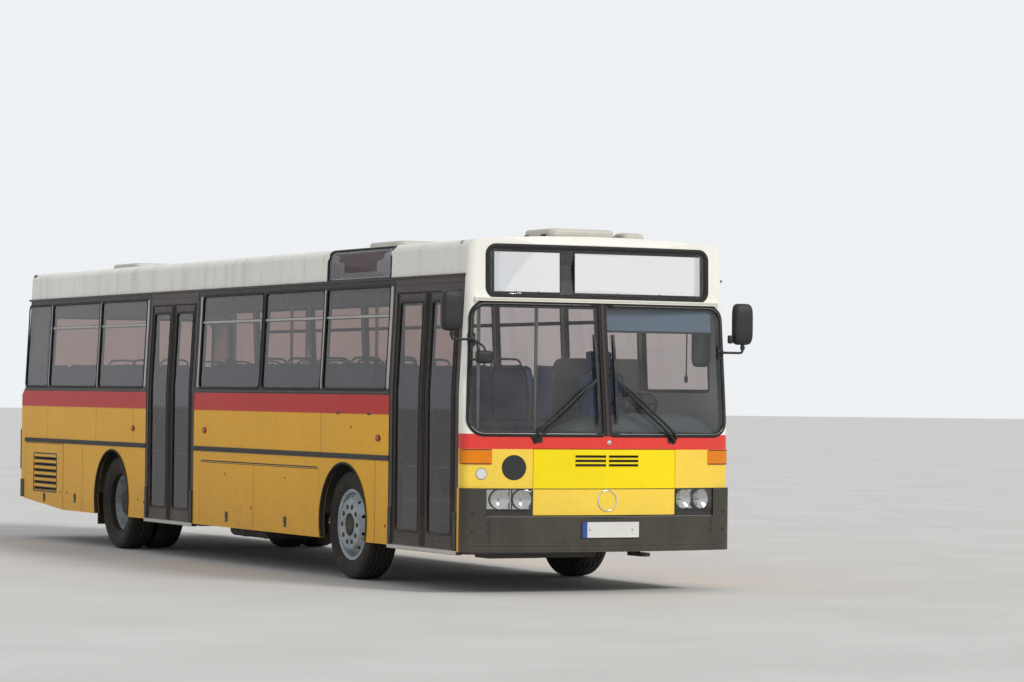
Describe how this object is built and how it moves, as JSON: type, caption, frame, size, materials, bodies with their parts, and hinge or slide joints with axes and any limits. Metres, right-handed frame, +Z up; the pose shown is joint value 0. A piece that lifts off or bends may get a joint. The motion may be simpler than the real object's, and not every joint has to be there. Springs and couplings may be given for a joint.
{
  "type": "city bus",
  "caption": "Single-deck city bus with twin inward-swinging doors on its kerb side, steered front wheels, twin rear wheels, full seating and flaps that lift.",
  "frame": {"origin": "on the ground, midway along the length and the width", "axes": "+Z up; the front of the bus faces -Y; the kerb side with the doors is -X"},
  "size_m": [2.91, 11.5398, 3.0199],
  "materials": {
    "bumper grey": "matte",
    "black plastic": "matte",
    "sign black": "gloss",
    "brown anodised": "satin",
    "rim silver": "satin",
    "tyre": "matte",
    "chassis paint": "matte",
    "partition": "matte",
    "seat fabric": "matte",
    "yellow paint": "satin",
    "black paint": "satin",
    "engine iron": "matte",
    "floor sheet": "matte",
    "glass": "gloss",
    "rail steel": "satin",
    "white paint": "gloss",
    "lamp glass": "gloss",
    "rail rubber": "matte",
    "hatch plastic": "satin",
    "amber": "gloss"
  },
  "bodies": {
    "bus_body": {"bumpers": "bumper grey", "dashboard": "black plastic", "destination_signs": "sign black", "door_frames": "brown anodised", "driver_partition": "partition", "driver_seat": "seat fabric", "driver_side_panels": "yellow paint", "driver_window_frames": "black paint", "engine": "engine iron", "floor_deck": "floor sheet", "front_axle": "chassis paint", "front_mask": "white paint", "fuel_tank": "chassis paint", "handrails": "rail steel", "headlamps": "lamp glass", "kerb_side_panels": "yellow paint", "kerb_window_frames": "black paint", "mirrors": "black plastic", "mudflaps": "rail rubber", "rear_axle": "chassis paint", "rear_wall": "yellow paint", "roof": "white paint", "roof_hatches": "hatch plastic", "rub_rails": "rail rubber", "saloon_glass": "glass", "seats": "seat fabric", "signal_lamps": "amber", "step_wells": "floor sheet", "underframe": "chassis paint", "wheel_boxes": "floor sheet", "windscreen": "glass", "wipers": "black plastic"},
    "kerb_knuckle_body": {"kerb_knuckle": "chassis paint"},
    "kerb_front_wheel": {"kerb_front_tyre": "tyre", "kerb_front_rim": "rim silver"},
    "kerb_rear_wheels": {"kerb_rear_tyres": "tyre", "kerb_rear_rims": "rim silver"},
    "driver_knuckle_body": {"driver_knuckle": "chassis paint"},
    "driver_front_wheel": {"driver_front_tyre": "tyre", "driver_front_rim": "rim silver"},
    "driver_rear_wheels": {"driver_rear_tyres": "tyre", "driver_rear_rims": "rim silver"},
    "steering_wheel_body": {"steering_wheel": "black plastic"},
    "front_door_fore_pillar_body": {"front_door_fore_pillar": "rail steel"},
    "front_door_fore_leaf_body": {"front_door_fore_leaf": "brown anodised", "front_door_fore_glass": "glass"},
    "front_door_aft_pillar_body": {"front_door_aft_pillar": "rail steel"},
    "front_door_aft_leaf_body": {"front_door_aft_leaf": "brown anodised", "front_door_aft_glass": "glass"},
    "rear_door_fore_pillar_body": {"rear_door_fore_pillar": "rail steel"},
    "rear_door_fore_leaf_body": {"rear_door_fore_leaf": "brown anodised", "rear_door_fore_glass": "glass"},
    "rear_door_aft_pillar_body": {"rear_door_aft_pillar": "rail steel"},
    "rear_door_aft_leaf_body": {"rear_door_aft_leaf": "brown anodised", "rear_door_aft_glass": "glass"},
    "kerb_flap_front_body": {"kerb_flap_front": "yellow paint"},
    "kerb_flap_rear_body": {"kerb_flap_rear": "yellow paint"},
    "kerb_flap_grille_body": {"kerb_flap_grille": "yellow paint"},
    "front_flap_body": {"front_flap": "yellow paint"},
    "engine_hatch_body": {"engine_hatch": "yellow paint"}
  },
  "joints": [
    {"name": "kerb_steer", "type": "hinge", "parent": "bus_body", "child": "kerb_knuckle_body", "pos_m": [-0.955, -3.18, 0.478], "axis": [0, 0, 1], "range_deg": [-40, 40]},
    {"name": "kerb_front_wheel_spin", "type": "hinge", "parent": "kerb_knuckle_body", "child": "kerb_front_wheel", "pos_m": [-1.042, -3.18, 0.478], "axis": [1, 0, 0], "continuous": true},
    {"name": "kerb_rear_wheels_spin", "type": "hinge", "parent": "bus_body", "child": "kerb_rear_wheels", "pos_m": [-1.042, 2.74, 0.478], "axis": [1, 0, 0], "continuous": true},
    {"name": "driver_steer", "type": "hinge", "parent": "bus_body", "child": "driver_knuckle_body", "pos_m": [0.955, -3.18, 0.478], "axis": [0, 0, 1], "range_deg": [-40, 40]},
    {"name": "driver_front_wheel_spin", "type": "hinge", "parent": "driver_knuckle_body", "child": "driver_front_wheel", "pos_m": [1.042, -3.18, 0.478], "axis": [1, 0, 0], "continuous": true},
    {"name": "driver_rear_wheels_spin", "type": "hinge", "parent": "bus_body", "child": "driver_rear_wheels", "pos_m": [1.042, 2.74, 0.478], "axis": [1, 0, 0], "continuous": true},
    {"name": "steering_wheel_turn", "type": "hinge", "parent": "bus_body", "child": "steering_wheel_body", "pos_m": [0.62, -4.98314, 1.49964], "axis": [0, 0.6715, 0.741], "range_deg": [-720, 720]},
    {"name": "front_door_fore_pillar_turn", "type": "hinge", "parent": "bus_body", "child": "front_door_fore_pillar_body", "pos_m": [-1.142, -5.446, 1.4], "axis": [0, 0, -1], "range_deg": [0, 75]},
    {"name": "front_door_fore_leaf_turn", "type": "hinge", "parent": "front_door_fore_pillar_body", "child": "front_door_fore_leaf_body", "pos_m": [-1.142, -5.1315, 1.4], "axis": [0, 0, 1], "range_deg": [0, 150]},
    {"name": "front_door_aft_pillar_turn", "type": "hinge", "parent": "bus_body", "child": "front_door_aft_pillar_body", "pos_m": [-1.142, -4.18, 1.4], "axis": [0, 0, 1], "range_deg": [0, 75]},
    {"name": "front_door_aft_leaf_turn", "type": "hinge", "parent": "front_door_aft_pillar_body", "child": "front_door_aft_leaf_body", "pos_m": [-1.142, -4.4945, 1.4], "axis": [0, 0, -1], "range_deg": [0, 150]},
    {"name": "rear_door_fore_pillar_turn", "type": "hinge", "parent": "bus_body", "child": "rear_door_fore_pillar_body", "pos_m": [-1.142, 0.481, 1.4], "axis": [0, 0, -1], "range_deg": [0, 75]},
    {"name": "rear_door_fore_leaf_turn", "type": "hinge", "parent": "rear_door_fore_pillar_body", "child": "rear_door_fore_leaf_body", "pos_m": [-1.142, 0.78575, 1.4], "axis": [0, 0, 1], "range_deg": [0, 150]},
    {"name": "rear_door_aft_pillar_turn", "type": "hinge", "parent": "bus_body", "child": "rear_door_aft_pillar_body", "pos_m": [-1.142, 1.708, 1.4], "axis": [0, 0, 1], "range_deg": [0, 75]},
    {"name": "rear_door_aft_leaf_turn", "type": "hinge", "parent": "rear_door_aft_pillar_body", "child": "rear_door_aft_leaf_body", "pos_m": [-1.142, 1.40325, 1.4], "axis": [0, 0, -1], "range_deg": [0, 150]},
    {"name": "kerb_flap_front_lift", "type": "hinge", "parent": "bus_body", "child": "kerb_flap_front_body", "pos_m": [-1.242, -1.8745, 0.9485], "axis": [0, 1, 0], "range_deg": [0, 88]},
    {"name": "kerb_flap_rear_lift", "type": "hinge", "parent": "bus_body", "child": "kerb_flap_rear_body", "pos_m": [-1.242, -0.4265, 0.9485], "axis": [0, 1, 0], "range_deg": [0, 88]},
    {"name": "kerb_flap_grille_lift", "type": "hinge", "parent": "bus_body", "child": "kerb_flap_grille_body", "pos_m": [-1.242, 4.9, 1.0455], "axis": [0, 1, 0], "range_deg": [0, 88]},
    {"name": "front_flap_lift", "type": "hinge", "parent": "bus_body", "child": "front_flap_body", "pos_m": [0, -5.75, 1.185], "axis": [-1, 0, 0], "range_deg": [0, 80]},
    {"name": "engine_hatch_lift", "type": "hinge", "parent": "bus_body", "child": "engine_hatch_body", "pos_m": [0, 5.762, 1.53], "axis": [1, 0, 0], "range_deg": [0, 75]}
  ],
  "couplings": [
    {"joint": "driver_steer", "follows": "kerb_steer", "ratio": 1},
    {"joint": "steering_wheel_turn", "follows": "kerb_steer", "ratio": 18},
    {"joint": "front_door_fore_leaf_turn", "follows": "front_door_fore_pillar_turn", "ratio": 2},
    {"joint": "front_door_aft_leaf_turn", "follows": "front_door_aft_pillar_turn", "ratio": 2},
    {"joint": "rear_door_fore_leaf_turn", "follows": "rear_door_fore_pillar_turn", "ratio": 2},
    {"joint": "rear_door_aft_leaf_turn", "follows": "rear_door_aft_pillar_turn", "ratio": 2}
  ]
}
